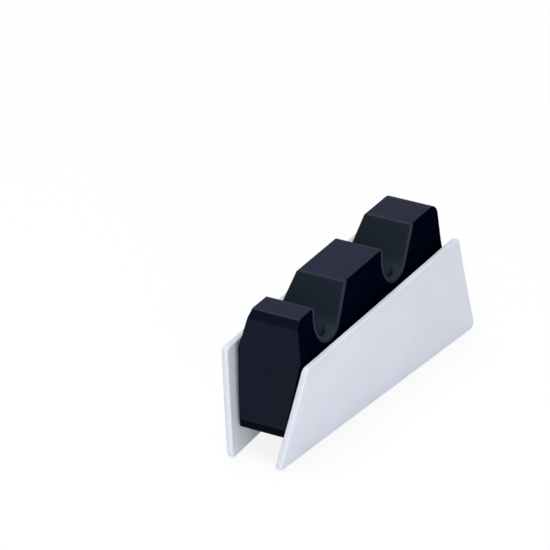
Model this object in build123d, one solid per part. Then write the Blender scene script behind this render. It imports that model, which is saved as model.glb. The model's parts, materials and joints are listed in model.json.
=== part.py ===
from build123d import *
from math import cos, radians, sin, tan
import os

# Charging dock for two game controllers, held one behind the other.
# Millimetres, +X to the right seen from the front, +Y to the rear, +Z up.
# Lengthwise places are measured from a point just inside the panels' toes, and the
# whole model is moved at the end so that its origin is at the middle of its footprint.

# Cradles, the two troughs that the controllers stand in
CRADLE_RADIUS = 9.4
CRADLE_DEPTH = 7.0
FRONT_CRADLE_Y = 36.5
CRADLE_PITCH = 59.0
REST_LEAN = 37.2
FRONT_WALL_LEAN = 16.0
LINER_THICKNESS = 1.6
LINER_EDGE_RADIUS = 0.35

# Side panels: two upright trapezoids whose lower edges spread to the rear
PANEL_TOE_Y = -2.0
PANEL_FOOT_LENGTH = 158.5
PANEL_FRONT_RAKE = 9.2
PANEL_REAR_RAKE = 16.7
PANEL_FRONT_HEIGHT = 45.4
PANEL_REAR_HEIGHT = PANEL_FRONT_HEIGHT + 4.6
PANEL_LIFT = 0.3
PANEL_TOP_HALF_FRONT = 20.6
PANEL_TOP_HALF_REAR = 21.0
PANEL_FOOT_HALF_FRONT = 12.6
PANEL_FOOT_HALF_REAR = 21.6
PANEL_THICKNESS = 3.0
PANEL_CORNER_RADIUS = 3.0
PANEL_TOE_RADIUS = 2.0
PANEL_EDGE_RADIUS = 0.9

# Body, a long six-sided block between the panels
BODY_TOP_Z = 61.2
BODY_KNEE_Z = 44.2
BODY_BOTTOM_Z = 12.3
BODY_RISE = 0.035
BODY_TOP_HALF = 11.4
BODY_KNEE_HALF_FRONT = 15.1
BODY_KNEE_HALF_REAR = 13.3
BODY_BOTTOM_HALF_FRONT = 10.6
BODY_BOTTOM_HALF_REAR = 14.4
TOE_Y = 4.9
NOSE_Y = 17.1
NOSE_REACH = 3.2
NOSE_DROP = 3.6
NOSE_RADIUS = 2.0
REAR_REACH = 52.9
HEEL_Y = FRONT_CRADLE_Y + CRADLE_PITCH + REAR_REACH
REAR_TOP_Y = HEEL_Y - 11.5
REAR_KNEE_Y = HEEL_Y - 10.8
REAR_CORNER_RADIUS = 5.0
BODY_EDGE_RADIUS = 0.8
SHELL_WALL = 2.0
SEAM_Z = 15.6
SEAM_GAP = 0.3

# Terminal pedestal in each cradle, with its flange and board under the floor
PEDESTAL_LENGTH = 21.0
PEDESTAL_DEPTH = 6.4
PEDESTAL_REAR_GAP = 0.5
PEDESTAL_TOP_DROP = 2.8
PEDESTAL_EDGE_RADIUS = 1.0
FLANGE_THICKNESS = 1.6
FLANGE_MARGIN = 0.8
MODULE_BOSS_HEIGHT = 3.2
MODULE_BOSS_RADIUS = 2.2
MODULE_SCREW_SPACING = 13.2
CONTACT_SPACING = 12.0
CONTACT_WIDTH = 3.0
CONTACT_THICKNESS = 0.6
CONTACT_RECESS = 1.0
CONTACT_TAIL = 1.0
WINDOW_MARGIN = 0.8
WINDOW_DEPTH = 1.2
CONTACT_BOARD_THICKNESS = 1.2

# Base cover
BASE_FLOOR = 2.0
BASE_LIP_HEIGHT = 2.2
BASE_LIP_THICKNESS = 1.2
PAN_FRONT_Y = 48.0
PAN_REAR_Y = HEEL_Y - 28.4
PAN_WIDTH = 18.0
PAN_WALL = 1.8
PAN_LIFT = 1.8
PAN_CORNER_RADIUS = 3.0
FOOT_RADIUS = 3.4
FOOT_THICKNESS = 2.0
FOOT_PROUD = 0.8
FOOT_RIM = 0.8
FRONT_FOOT_Y = 34.0
FRONT_FOOT_HALF = 5.6
REAR_FOOT_Y = HEEL_Y - 7.4
REAR_FOOT_HALF = 10.0

# Main board and what stands on it
BOARD_Z = 20.6
BOARD_THICKNESS = 1.6
BOARD_WIDTH = 11.6
BOARD_FRONT_Y = 37.0
BOARD_SCREW_HALF = 3.8
BOARD_SCREW_FRONT_Y = 40.0
BOARD_SCREW_REAR_Y = HEEL_Y - 20.4
BOARD_POST_RADIUS = 2.2
HEADER_LENGTH = 5.6
HEADER_WIDTH = 6.0
HEADER_HEIGHT = 3.8
CHIP_SIZE = 4.0
CHIP_HEIGHT = 0.9
INDUCTOR_SIZE = 6.0
INDUCTOR_HEIGHT = 3.0
CHIP_LEAD = 12.0
INDUCTOR_LEAD = 20.0
CAPACITOR_RADIUS = 3.15
CAPACITOR_HEIGHT = 7.7

# Power inlet in the rear wall
INLET_WIDTH = 8.94
INLET_HEIGHT = 3.2
INLET_LENGTH = 7.4
INLET_SHELL = 0.3
INLET_MOUTH_DEPTH = 5.2
TONGUE_WIDTH = 6.7
TONGUE_HEIGHT = 0.7
TONGUE_SETBACK = 0.6
WELL_WIDTH = 13.0
WELL_HEIGHT = 7.4
WELL_WALL = 1.6
WELL_FLOOR_Y = HEEL_Y - 8.4
WELL_CORNER_RADIUS = 2.4

# Wires of the two harnesses
WIRE_RADIUS = 0.6
WIRE_SPACING = 2.0
WIRE_LEAD = 5.5
WIRE_BEND_RADIUS = 6.0

# Ballast
BALLAST_HEIGHT = 10.0
BALLAST_CLEARANCE = 0.3
BALLAST_SCREW_INSET = 12.0
BALLAST_BOSS_RADIUS = 2.6

# Screws, and the posts that they hold
SCREW_RADIUS = 1.25
SCREW_HEAD_RADIUS = 2.3
SCREW_HEAD_HEIGHT = 1.6
SOCKET_RADIUS = 0.9
SOCKET_DEPTH = 0.8
PILOT_CLEARANCE = 0.05
HOLE_CLEARANCE = 0.25
BASE_SCREW_LENGTH = 8.0
BASE_POST_RADIUS = 2.8
BASE_PAD_RADIUS = 3.6
BASE_PAD_THICKNESS = 1.8
BASE_HEAD_RECESS = 2.0
FRONT_POST_Y = 18.5
FRONT_POST_HALF = 4.5
REAR_POST_Y = HEEL_Y - 17.4
REAR_POST_HALF = 9.0
BOARD_SCREW_LENGTH = 5.0
MODULE_SCREW_LENGTH = 6.4
PANEL_SCREW_LENGTH = 4.4
PANEL_SCREW_Z = 31.0
PANEL_SCREW_PLACES = (27.0, 76.0, HEEL_Y - 27.4)
PANEL_BOSS_RADIUS = 3.2
PANEL_SEAT_SKIN = 1.2
BALLAST_SCREW_LENGTH = 7.0

# Clearances between separate pieces
SEAT_GAP = 0.1
FIT_GAP = 0.2

# How far cutting shapes reach past the body, and how near counts as touching
REACH = 12.0
TOUCH = 0.001

# Angles in degrees
HALF_TURN = 180
QUARTER_TURN = 90


def top_z(y):
    """Height of the body's top line at y."""
    return BODY_TOP_Z + BODY_RISE * y


def knee_z(y):
    """Height of the body's widest line at y."""
    return BODY_KNEE_Z + BODY_RISE * y


def along_body(front, rear, y):
    """Value at y of a size that changes evenly from the body's toe to its heel."""
    return front + (rear - front) * (y - TOE_Y) / (HEEL_Y - TOE_Y)


def bottom_half(y):
    """Half width of the body's underside at y."""
    return along_body(BODY_BOTTOM_HALF_FRONT, BODY_BOTTOM_HALF_REAR, y)


def knee_half(y):
    """Half width of the body at its widest line at y."""
    return along_body(BODY_KNEE_HALF_FRONT, BODY_KNEE_HALF_REAR, y)


def lower_flank_half(y, z):
    """Half width of the body under its widest line."""
    share = (z - BODY_BOTTOM_Z) / (knee_z(y) - BODY_BOTTOM_Z)
    return bottom_half(y) + share * (knee_half(y) - bottom_half(y))


def panel_face_half(y, z):
    """Half width to a panel's outer face, a surface ruled between its edges."""
    front = panel_edge_half(0, z)
    rear = panel_edge_half(1, z)
    return front + (rear - front) * (y - PANEL_TOE_Y) / PANEL_FOOT_LENGTH


def panel_edge_half(end, z):
    """Half width at height z above the feet, at the front (0) or rear (1) of the panel."""
    foot = (PANEL_FOOT_HALF_FRONT, PANEL_FOOT_HALF_REAR)[end]
    top = (PANEL_TOP_HALF_FRONT, PANEL_TOP_HALF_REAR)[end]
    height = (PANEL_FRONT_HEIGHT, PANEL_REAR_HEIGHT)[end]
    return foot + (top - foot) * (z - PANEL_LIFT) / height


def polygon(points):
    """Flat face through points that are given in space."""
    return Face(Wire.make_polygon([Vector(*point) for point in points], close=True))


def side_prism(face, half_width):
    """Solid with the same outline from one side of the dock to the other."""
    return extrude(face, amount=half_width, dir=(1, 0, 0), both=True)


def body_clear():
    """Half width that reaches past the body on both sides."""
    return BODY_KNEE_HALF_FRONT + REACH


def whole_width(low, high):
    """Slice of space between two heights, wider and longer than the body."""
    return block((-body_clear(), body_clear()), (-REACH, HEEL_Y + REACH), (low, high))


def cylinder_between(radius, start, end):
    """Round bar from start to end."""
    a, b = Vector(*start), Vector(*end)
    axis = b - a
    return extrude(Plane(origin=a, z_dir=axis) * Circle(radius), amount=axis.length)


def block(x_range, y_range, z_range):
    """Box between three pairs of limits."""
    sizes = [high - low for low, high in (x_range, y_range, z_range)]
    middle = [(high + low) / 2 for low, high in (x_range, y_range, z_range)]
    return Pos(*middle) * Box(*sizes)


def screw(length):
    """Pan-head screw along -Z, with the underside of its head at z = 0."""
    head = extrude(Circle(SCREW_HEAD_RADIUS), amount=SCREW_HEAD_HEIGHT)
    head = fillet(head.edges().group_by(Axis.Z)[-1], SCREW_HEAD_HEIGHT / 2)
    shank = extrude(Circle(SCREW_RADIUS), amount=-length)
    shank = chamfer(shank.edges().group_by(Axis.Z)[0], SCREW_RADIUS / 2)
    socket_plane = Plane.XY.offset(SCREW_HEAD_HEIGHT)
    socket = extrude(socket_plane * RegularPolygon(SOCKET_RADIUS, 6), amount=-SOCKET_DEPTH)
    return head + shank - socket


# Body

def body_section(y, inset):
    """Six-sided cross-section of the body at y, drawn in by inset and open upwards."""
    upper_slope = (knee_half(y) - BODY_TOP_HALF) / (BODY_TOP_Z - BODY_KNEE_Z)
    right = [
        (bottom_half(y) - inset, BODY_BOTTOM_Z),
        (knee_half(y) - inset, knee_z(y)),
        (BODY_TOP_HALF - REACH * upper_slope - inset, top_z(y) + REACH),
    ]
    left = [(-half, z) for half, z in reversed(right)]
    return polygon([(half, y, z) for half, z in right + left])


def body_block(inset):
    """The body's cross-section carried from front to rear, longer than the body."""
    ends = (TOE_Y - REACH, HEEL_Y + REACH)
    return loft([body_section(y, inset) for y in ends], ruled=True)


def body_outline(inset):
    """Side view of the body without its cradles, drawn in by inset."""
    low_z = BODY_BOTTOM_Z - REACH
    crease_y, crease_z = NOSE_Y - NOSE_REACH, top_z(NOSE_Y) - NOSE_DROP
    toe_step = (crease_y - TOE_Y) / (crease_z - BODY_BOTTOM_Z)
    heel_step = (HEEL_Y - REAR_KNEE_Y) / (knee_z(REAR_KNEE_Y) - BODY_BOTTOM_Z)
    points = [
        (TOE_Y - toe_step * REACH, low_z),
        (crease_y, crease_z),
        (NOSE_Y, top_z(NOSE_Y)),
        (REAR_TOP_Y, top_z(REAR_TOP_Y)),
        (REAR_KNEE_Y, knee_z(REAR_KNEE_Y)),
        (HEEL_Y + heel_step * REACH, low_z),
    ]
    face = polygon([(0, y, z) for y, z in points])
    rear_top = face.vertices().sort_by(lambda vertex: vertex.Y + vertex.Z)[-1:]
    face = face.fillet_2d(REAR_CORNER_RADIUS, rear_top)
    nose = face.vertices().sort_by(lambda vertex: vertex.Z - vertex.Y)[-1:]
    face = face.fillet_2d(NOSE_RADIUS, nose)
    if inset:
        face = offset(face, amount=-inset, kind=Kind.INTERSECTION).face()
    return face


def body_solid():
    """The whole body as one rounded block, before its cradles and its seam."""
    solid = body_block(0) & side_prism(body_outline(0), body_clear())
    return fillet(solid.edges(), BODY_EDGE_RADIUS)


def body_cavity():
    """Hollow of the body, with walls left all round and under the cradles."""
    hollow = body_block(SHELL_WALL) & side_prism(body_outline(SHELL_WALL), body_clear())
    for index in range(2):
        hollow -= trough(index, LINER_THICKNESS + SHELL_WALL)
    return hollow


# Cradles

def cradle_centre(index):
    """Centre of the round bottom of the front (0) or rear (1) cradle, as y and z."""
    y = FRONT_CRADLE_Y + index * CRADLE_PITCH
    return y, top_z(y) - CRADLE_DEPTH


def trough(index, grow):
    """Cradle cut: steep front wall, round bottom and a rest that leans back further."""
    y, z = cradle_centre(index)
    radius = CRADLE_RADIUS + grow
    lean, front_lean = radians(REST_LEAN), radians(FRONT_WALL_LEAN)
    high = top_z(HEEL_Y) + REACH
    front_low = (0, y - radius * cos(front_lean), z + radius * sin(front_lean))
    front_high = (0, front_low[1] + (high - front_low[2]) * tan(front_lean), high)
    bottom = (0, y, z - radius)
    rest_low = (0, y + radius * cos(lean), z - radius * sin(lean))
    rest_high = (0, rest_low[1] + (high - rest_low[2]) * tan(lean), high)
    outline = Wire([
        Edge.make_line(front_high, front_low),
        Edge.make_three_point_arc(front_low, bottom, rest_low),
        Edge.make_line(rest_low, rest_high),
        Edge.make_line(rest_high, front_high),
    ])
    return side_prism(Face(outline), body_clear())


def module_plane(index):
    """Frame of a terminal module: local Z along the rest, local Y towards it."""
    y, z = cradle_centre(index)
    lean = radians(REST_LEAN)
    return Plane(origin=(0, y, z), x_dir=(1, 0, 0), z_dir=(0, sin(lean), cos(lean)))


def pedestal_offset():
    """Distance of the pedestal's middle from the centre of the cradle's bottom."""
    return CRADLE_RADIUS - PEDESTAL_REAR_GAP - PEDESTAL_DEPTH / 2


def flange_top():
    """Level of the flange on the module's own axis."""
    return -(CRADLE_RADIUS + LINER_THICKNESS + SHELL_WALL + MODULE_BOSS_HEIGHT)


def contact_board_top():
    return flange_top() - FLANGE_THICKNESS


def contact_board_bottom():
    return contact_board_top() - CONTACT_BOARD_THICKNESS


def module_screw_places():
    """Places of the two module screws in front of the pedestal."""
    depth = pedestal_offset() - PEDESTAL_DEPTH / 2 - MODULE_BOSS_RADIUS - 2 * FLANGE_MARGIN
    return [(side * MODULE_SCREW_SPACING / 2, depth) for side in (-1, 1)]


def contact_places():
    return [(side * CONTACT_SPACING / 2, pedestal_offset()) for side in (-1, 1)]


def pedestal_pill(grow, low, high):
    """Upright block with round ends, between two levels of the module's axis."""
    pill = SlotOverall(PEDESTAL_LENGTH + 2 * grow, PEDESTAL_DEPTH + 2 * grow)
    return extrude(Plane.XY.offset(low) * Pos(0, pedestal_offset()) * pill, amount=high - low)


def module_plate(low, high, shrink):
    """Rectangle that takes in the pedestal and both module screws."""
    depths = [depth for _, depth in module_screw_places()]
    front = min(depths) - MODULE_BOSS_RADIUS - FLANGE_MARGIN / 2 + shrink
    rear = pedestal_offset() + PEDESTAL_DEPTH / 2 + FLANGE_MARGIN - shrink
    half = PEDESTAL_LENGTH / 2 + FLANGE_MARGIN / 2 - shrink
    return block((-half, half), (front, rear), (low, high))


def module_bosses():
    """Two short posts under a cradle's floor, which the module is screwed to."""
    floor = -(CRADLE_RADIUS + LINER_THICKNESS + SHELL_WALL / 4)
    return [cylinder_between(MODULE_BOSS_RADIUS, (x, y, flange_top()), (x, y, floor))
            for x, y in module_screw_places()]


def module_pilots():
    """Pilot holes in those posts, one screw thread deep."""
    depth = contact_board_bottom() + MODULE_SCREW_LENGTH + FIT_GAP
    return [cylinder_between(SCREW_RADIUS + PILOT_CLEARANCE, (x, y, flange_top() - REACH), (x, y, depth))
            for x, y in module_screw_places()]


def module_screw_holes():
    """Clearance holes for the module screws through flange and board."""
    low, high = contact_board_bottom() - REACH, flange_top() + REACH
    return [cylinder_between(SCREW_RADIUS + HOLE_CLEARANCE, (x, y, low), (x, y, high))
            for x, y in module_screw_places()]


def pedestal():
    """Terminal block in its own frame: a rounded pill on a flange, with two windows."""
    top = -PEDESTAL_TOP_DROP
    pill = pedestal_pill(0, flange_top(), top)
    pill = fillet(pill.edges().group_by(Axis.Z)[-1], PEDESTAL_EDGE_RADIUS)
    solid = pill + module_plate(contact_board_top(), flange_top(), 0)
    for x, y in contact_places():
        slot_x = (x - CONTACT_WIDTH / 2 - FIT_GAP, x + CONTACT_WIDTH / 2 + FIT_GAP)
        slot_y = (y - CONTACT_THICKNESS / 2 - FIT_GAP, y + CONTACT_THICKNESS / 2 + FIT_GAP)
        solid -= block(slot_x, slot_y, (contact_board_top() - REACH, top + REACH))
        window_x = (slot_x[0] - WINDOW_MARGIN, slot_x[1] + WINDOW_MARGIN)
        window_y = (slot_y[0] - WINDOW_MARGIN, slot_y[1] + WINDOW_MARGIN)
        solid -= block(window_x, window_y, (top - WINDOW_DEPTH, top + REACH))
    return solid - module_screw_holes()


def contact(side):
    """One upright contact blade with a rounded tip."""
    x, y = contact_places()[side]
    low = contact_board_bottom() - CONTACT_TAIL
    blade = block(
        (x - CONTACT_WIDTH / 2, x + CONTACT_WIDTH / 2),
        (y - CONTACT_THICKNESS / 2, y + CONTACT_THICKNESS / 2),
        (low, -PEDESTAL_TOP_DROP - CONTACT_RECESS),
    )
    tip = blade.edges().filter_by(Axis.X).group_by(Axis.Z)[-1]
    return fillet(tip, CONTACT_THICKNESS / 3)


def contact_board():
    solid = module_plate(contact_board_bottom(), contact_board_top(), FIT_GAP)
    for x, y in contact_places():
        slot_x = (x - CONTACT_WIDTH / 2 - SEAT_GAP, x + CONTACT_WIDTH / 2 + SEAT_GAP)
        slot_y = (y - CONTACT_THICKNESS / 2 - SEAT_GAP, y + CONTACT_THICKNESS / 2 + SEAT_GAP)
        solid -= block(slot_x, slot_y, (contact_board_bottom() - REACH, contact_board_top() + REACH))
    return solid - module_screw_holes()


def contact_header_rear():
    """Depth of the face of the contact board's header that the wires leave."""
    return pedestal_offset() + PEDESTAL_DEPTH / 2


def contact_header():
    """Wire header on the underside of the contact board."""
    rear = contact_header_rear()
    low = contact_board_bottom() - HEADER_HEIGHT
    half = HEADER_WIDTH / 2
    solid = block((-half, half), (rear - HEADER_LENGTH, rear), (low, contact_board_bottom()))
    for x in wire_places():
        start = (x, rear - HEADER_LENGTH / 2, low + HEADER_HEIGHT / 2)
        solid -= cylinder_between(WIRE_RADIUS + SEAT_GAP, start, (x, rear + REACH, start[2]))
    return solid


def module_screws():
    """Two screws that clamp board and flange to the posts."""
    turned = Rot(X=HALF_TURN) * screw(MODULE_SCREW_LENGTH)
    return [Pos(x, y, contact_board_bottom()) * turned for x, y in module_screw_places()]


# Screw places of the base

def base_post_places():
    return [(side * FRONT_POST_HALF, FRONT_POST_Y) for side in (-1, 1)] + \
        [(side * REAR_POST_HALF, REAR_POST_Y) for side in (-1, 1)]


def foot_places():
    """Names and places of the four feet."""
    return {
        "foot_front_left": (-FRONT_FOOT_HALF, FRONT_FOOT_Y),
        "foot_front_right": (FRONT_FOOT_HALF, FRONT_FOOT_Y),
        "foot_rear_left": (-REAR_FOOT_HALF, REAR_FOOT_Y),
        "foot_rear_right": (REAR_FOOT_HALF, REAR_FOOT_Y),
    }


def board_screw_places():
    return [(side * BOARD_SCREW_HALF, y) for side in (-1, 1)
            for y in (BOARD_SCREW_FRONT_Y, BOARD_SCREW_REAR_Y)]


def ballast_screw_places():
    return [(0, PAN_FRONT_Y + BALLAST_SCREW_INSET), (0, PAN_REAR_Y - BALLAST_SCREW_INSET)]


def head_seat_z():
    """Level on which the heads of the base screws bear, inside their recesses."""
    return BODY_BOTTOM_Z + BASE_HEAD_RECESS


def pad_top_z():
    return head_seat_z() + BASE_PAD_THICKNESS


def panel_seat(y):
    """Half width of the flat seat for a panel screw's head, inside the body."""
    return lower_flank_half(y, PANEL_SCREW_Z) - PANEL_SEAT_SKIN


# Housing

def inlet_z():
    """Middle height of the power inlet, which stands on the main board."""
    return BOARD_Z + BOARD_THICKNESS + INLET_HEIGHT / 2


def well_outline(grow):
    corner = WELL_CORNER_RADIUS + grow
    return RectangleRounded(WELL_WIDTH + 2 * grow, WELL_HEIGHT + 2 * grow, corner)


def along_y(sketch, z, start, end):
    """Upright sketch carried along Y between two places, centred at height z."""
    plane = Plane(origin=(0, start, z), x_dir=(-1, 0, 0), z_dir=(0, 1, 0))
    return extrude(plane * sketch, amount=end - start)


def top_housing(body):
    """Upper shell with both cradle recesses, posts, the inlet well and screw seats."""
    upper = body & whole_width(SEAM_Z, top_z(HEEL_Y) + REACH)
    shell = upper - body_cavity()
    posts = [cylinder_between(BASE_POST_RADIUS, (x, y, pad_top_z() + SEAT_GAP), (x, y, top_z(y)))
             for x, y in base_post_places()]
    well = along_y(well_outline(WELL_WALL), inlet_z(), WELL_FLOOR_Y - WELL_WALL, HEEL_Y + REACH)
    shell += [post & upper for post in posts] + [well & upper]
    for index in range(2):
        plane = module_plane(index)
        shell += [plane * boss for boss in module_bosses()]
        shell -= trough(index, LINER_THICKNESS)
        shell -= [plane * pilot for pilot in module_pilots()]
        shell -= plane * pedestal_pill(FIT_GAP, flange_top() + SEAT_GAP, REACH)
    shell -= along_y(well_outline(0), inlet_z(), WELL_FLOOR_Y, HEEL_Y + REACH)
    shell -= along_y(inlet_outline(FIT_GAP), inlet_z(), WELL_FLOOR_Y - REACH / 2, HEEL_Y)
    for x, y in base_post_places():
        tip = head_seat_z() + BASE_SCREW_LENGTH + FIT_GAP
        shell -= cylinder_between(SCREW_RADIUS + PILOT_CLEARANCE, (x, y, SEAM_Z - REACH), (x, y, tip))
    for side in (-1, 1):
        for y in PANEL_SCREW_PLACES:
            seat = panel_seat(y)
            inner, outer = (side * (seat - REACH / 3), y, PANEL_SCREW_Z), (side * seat, y, PANEL_SCREW_Z)
            through = (side * (seat + REACH), y, PANEL_SCREW_Z)
            shell -= cylinder_between(SCREW_HEAD_RADIUS + HOLE_CLEARANCE, inner, outer)
            shell -= cylinder_between(SCREW_RADIUS + HOLE_CLEARANCE, inner, through)
    return shell


def touches(solid, edge):
    """Whether the middle of an edge lies on the skin of a solid."""
    return solid.shell().distance_to(Vertex(edge @ 0.5)) < TOUCH


def cradle_liner(body, index):
    """Soft sheet that lines a cradle, with a rounded rim and a hole for the pedestal."""
    cut = trough(index, 0)
    liner = body & (trough(index, LINER_THICKNESS) - cut)
    rim = [edge for edge in liner.edges() if touches(cut, edge) and touches(body, edge)]
    liner = fillet(rim, LINER_EDGE_RADIUS)
    return liner - module_plane(index) * pedestal_pill(FIT_GAP, flange_top(), REACH)


# Side panels

def panel_slab():
    """Right-hand slab between two ruled faces, longer and taller than the panel."""
    ends = (PANEL_TOE_Y - REACH, PANEL_TOE_Y + PANEL_FOOT_LENGTH + REACH)
    low, high = PANEL_LIFT - REACH, PANEL_LIFT + PANEL_REAR_HEIGHT + REACH
    faces = []
    for y in ends:
        outer_low, outer_high = panel_face_half(y, low), panel_face_half(y, high)
        faces.append(polygon([
            (outer_low - PANEL_THICKNESS, y, low), (outer_low, y, low),
            (outer_high, y, high), (outer_high - PANEL_THICKNESS, y, high),
        ]))
    return loft(faces, ruled=True)


def panel_outline():
    """Side view of a panel, a trapezoid with rounded corners."""
    heel_y = PANEL_TOE_Y + PANEL_FOOT_LENGTH
    toe = (PANEL_TOE_Y, PANEL_LIFT)
    crown_front = (PANEL_TOE_Y + PANEL_FRONT_RAKE, PANEL_LIFT + PANEL_FRONT_HEIGHT)
    crown_rear = (heel_y - PANEL_REAR_RAKE, PANEL_LIFT + PANEL_REAR_HEIGHT)
    heel = (heel_y, PANEL_LIFT)
    face = polygon([(0, y, z) for y, z in (toe, crown_front, crown_rear, heel)])
    corners = face.vertices().sort_by(lambda vertex: vertex.Y + vertex.Z)
    face = face.fillet_2d(PANEL_TOE_RADIUS, corners[:1])
    others = [v for v in face.vertices() if v.Y + v.Z > PANEL_FRONT_HEIGHT]
    return face.fillet_2d(PANEL_CORNER_RADIUS, others)


def side_panel(body, side):
    """One panel with rounded edges, three screw bosses and their pilot holes."""
    slab = panel_slab() & extrude(panel_outline(), amount=PANEL_FOOT_HALF_REAR * 2, dir=(1, 0, 0))
    slab = fillet(slab.edges(), PANEL_EDGE_RADIUS)
    if side < 0:
        slab = mirror(slab, about=Plane.YZ)
    for y in PANEL_SCREW_PLACES:
        face_half = panel_face_half(y, PANEL_SCREW_Z)
        start = side * (panel_seat(y) - REACH / 3)
        root = side * (face_half - PANEL_THICKNESS / 2)
        boss = cylinder_between(PANEL_BOSS_RADIUS, (start, y, PANEL_SCREW_Z), (root, y, PANEL_SCREW_Z))
        tip = side * (panel_seat(y) + PANEL_SCREW_LENGTH + FIT_GAP)
        pilot = cylinder_between(
            SCREW_RADIUS + PILOT_CLEARANCE, (start, y, PANEL_SCREW_Z), (tip, y, PANEL_SCREW_Z))
        slab += boss - body_block(-SEAT_GAP)
        slab -= pilot
    return slab


# Base cover and what it carries

def base_lip():
    """Rim of the base cover that stands up inside the upper shell."""
    gap = SHELL_WALL + FIT_GAP
    outer = body_block(gap) & side_prism(body_outline(gap), body_clear())
    thick = gap + BASE_LIP_THICKNESS
    inner = body_block(thick) & side_prism(body_outline(thick), body_clear())
    rim = (outer - inner) & whole_width(BODY_BOTTOM_Z + BASE_FLOOR / 2, SEAM_Z + BASE_LIP_HEIGHT)
    for x, y in base_post_places():
        rim -= cylinder_between(BASE_POST_RADIUS + FIT_GAP, (x, y, SEAM_Z - REACH), (x, y, SEAM_Z + REACH))
    return rim, outer


def base_cover(body):
    """Lower cover: shallow tray, ballast pan, foot pedestals, pads and board posts."""
    floor_top = BODY_BOTTOM_Z + BASE_FLOOR
    lower = body & whole_width(BODY_BOTTOM_Z - REACH, SEAM_Z - SEAM_GAP)
    hollow = body_block(SHELL_WALL) & side_prism(body_outline(SHELL_WALL), body_clear())
    hollow &= whole_width(floor_top, SEAM_Z + REACH)
    rim, rim_outer = base_lip()
    cover = lower - hollow + rim
    cover += pan(PAN_LIFT, floor_top, 0)
    cover -= pan(PAN_LIFT + PAN_WALL, floor_top + REACH, PAN_WALL)
    for x, y in foot_places().values():
        cover += cylinder_between(FOOT_RADIUS + FOOT_RIM, (x, y, FOOT_PROUD), (x, y, floor_top))
        cover -= cylinder_between(FOOT_RADIUS + SEAT_GAP, (x, y, -REACH), (x, y, FOOT_THICKNESS))
    for x, y in base_post_places():
        pad = cylinder_between(BASE_PAD_RADIUS, (x, y, BODY_BOTTOM_Z + SEAT_GAP), (x, y, pad_top_z()))
        cover += pad & rim_outer
        cover -= cylinder_between(
            SCREW_HEAD_RADIUS + HOLE_CLEARANCE, (x, y, BODY_BOTTOM_Z - REACH), (x, y, head_seat_z()))
        high = pad_top_z() + REACH
        cover -= cylinder_between(SCREW_RADIUS + HOLE_CLEARANCE, (x, y, BODY_BOTTOM_Z), (x, y, high))
    for x, y in board_screw_places():
        cover += cylinder_between(BOARD_POST_RADIUS, (x, y, floor_top - BASE_FLOOR / 2), (x, y, BOARD_Z))
        tip = BOARD_Z + BOARD_THICKNESS - BOARD_SCREW_LENGTH - FIT_GAP
        cover -= cylinder_between(SCREW_RADIUS + PILOT_CLEARANCE, (x, y, tip), (x, y, BOARD_Z + REACH))
    for x, y in ballast_screw_places():
        pan_floor = PAN_LIFT + PAN_WALL
        boss_top = pan_floor + BALLAST_HEIGHT - FIT_GAP
        cover += cylinder_between(BALLAST_BOSS_RADIUS, (x, y, pan_floor - PAN_WALL / 2), (x, y, boss_top))
        tip = pan_floor + BALLAST_HEIGHT - BALLAST_SCREW_LENGTH - FIT_GAP
        cover -= cylinder_between(SCREW_RADIUS + PILOT_CLEARANCE, (x, y, tip), (x, y, boss_top + REACH))
    return cover


def pan(low, high, inset):
    """Rounded box of the ballast pan between two heights, drawn in by inset."""
    width = PAN_WIDTH - 2 * inset
    length = PAN_REAR_Y - PAN_FRONT_Y - 2 * inset
    outline = RectangleRounded(width, length, PAN_CORNER_RADIUS - inset)
    middle = (PAN_FRONT_Y + PAN_REAR_Y) / 2
    return extrude(Plane.XY.offset(low) * Pos(0, middle) * outline, amount=high - low)


def ballast_plate():
    """Steel bar that fills the pan, with holes over the two bosses."""
    low = PAN_LIFT + PAN_WALL
    plate = pan(low, low + BALLAST_HEIGHT, PAN_WALL + BALLAST_CLEARANCE)
    plate = chamfer(plate.edges().group_by(Axis.Z)[-1], BALLAST_CLEARANCE)
    for x, y in ballast_screw_places():
        plate -= cylinder_between(BALLAST_BOSS_RADIUS + FIT_GAP, (x, y, low - REACH), (x, y, low + REACH * 2))
    return plate


def foot(x, y):
    """Round rubber foot with a soft lower edge."""
    pad = cylinder_between(FOOT_RADIUS, (x, y, 0), (x, y, FOOT_THICKNESS))
    return fillet(pad.edges().group_by(Axis.Z)[0], FOOT_PROUD / 2)


# Main board and its pieces

def board_rear_y():
    return WELL_FLOOR_Y - WELL_WALL - FIT_GAP


def main_board():
    half = BOARD_WIDTH / 2
    board = block((-half, half), (BOARD_FRONT_Y, board_rear_y()), (BOARD_Z, BOARD_Z + BOARD_THICKNESS))
    for x, y in board_screw_places():
        low, high = (x, y, BOARD_Z - REACH), (x, y, BOARD_Z + REACH)
        board -= cylinder_between(SCREW_RADIUS + HOLE_CLEARANCE, low, high)
    return board


def wire_places():
    return [side * WIRE_SPACING / 2 for side in (-1, 1)]


def wire_level():
    """Height at which the wires enter the headers on the main board."""
    return BOARD_Z + BOARD_THICKNESS + HEADER_HEIGHT / 2


def wire_points(index, x):
    """Start, corner and end of one wire, from a contact board to the main board."""
    depth = contact_header_rear()
    level = contact_board_bottom() - HEADER_HEIGHT / 2
    start = module_plane(index).from_local_coords(Vector(x, depth, level))
    lean = radians(REST_LEAN)
    run = (start.Z - wire_level()) / sin(lean)
    corner = start + Vector(0, cos(lean), -sin(lean)) * run
    return start, corner, corner + Vector(0, WIRE_LEAD, 0)


def harness(index):
    """The two wires of one harness, each a run, a bend and a run."""
    wires = []
    for x in wire_places():
        start, corner, end = wire_points(index, x)
        path = FilletPolyline(start, corner, end, radius=WIRE_BEND_RADIUS)
        section = Plane(origin=start, z_dir=corner - start) * Circle(WIRE_RADIUS)
        wires.append(sweep(section, path=path))
    return wires


def main_header_front(index):
    """Front face of the main board's header for one harness."""
    return wire_points(index, 0)[2].Y


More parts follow.
